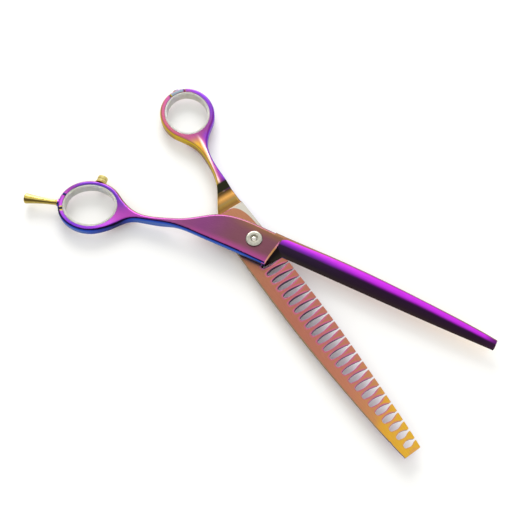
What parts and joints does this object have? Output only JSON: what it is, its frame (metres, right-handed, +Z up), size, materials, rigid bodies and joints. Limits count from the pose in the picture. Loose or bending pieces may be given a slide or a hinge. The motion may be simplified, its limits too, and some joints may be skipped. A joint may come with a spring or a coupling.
{
  "type": "thinning shears",
  "caption": "Hairdressing thinning shears with an iridescent coating, a plain blade, a toothed blade, lined finger rings, a screw-in finger rest, a bumper and an adjustable pivot.",
  "frame": {"origin": "centre of the base of the part's box, under the open shears lying flat", "axes": "+X along the plain blade towards its tip, +Z up along the pivot axis"},
  "size_m": [0.2038, 0.114, 0.0089],
  "materials": {
    "rainbow_steel": "polished steel with an iridescent rainbow coating",
    "bright_steel": "polished",
    "gold_steel": "polished gold coating",
    "silicone": "translucent silicone",
    "slide_plastic": "low-friction white plastic",
    "bumper_plastic": "pale yellow, smooth"
  },
  "bodies": {
    "finger_half": {"solid_blade": "rainbow_steel", "finger_ring_liner": "silicone", "pivot_nut": "bright_steel", "head_washer": "bright_steel", "thrust_washer": "slide_plastic", "pivot_screw": "bright_steel", "bumper_seat": "gold_steel", "bumper_cap": "bumper_plastic"},
    "thumb_half": {"toothed_blade": "rainbow_steel", "thumb_ring_liner": "silicone", "pivot_bush": "slide_plastic", "spring_washer": "bright_steel", "click_plate": "bright_steel"},
    "dial": {"tension_dial": "gold_steel"},
    "horn": {"finger_rest": "gold_steel"}
  },
  "joints": [
    {"name": "blade_pivot", "type": "hinge", "parent": "finger_half", "child": "thumb_half", "pos_m": [-0.00311, -0.00142, 0.0051], "axis": [0, 0, 1], "range_deg": [-110, 28]},
    {"name": "dial_turn", "type": "hinge", "parent": "finger_half", "child": "dial", "pos_m": [-0.00311, -0.00142, 0.0006], "axis": [0, 0, 1], "range_deg": [-180, 180]},
    {"name": "finger_rest_turn", "type": "hinge", "parent": "finger_half", "child": "horn", "pos_m": [-0.08738, -0.0207, 0.004], "axis": [-0.9563, -0.2924, 0], "range_deg": [0, 360]}
  ]
}
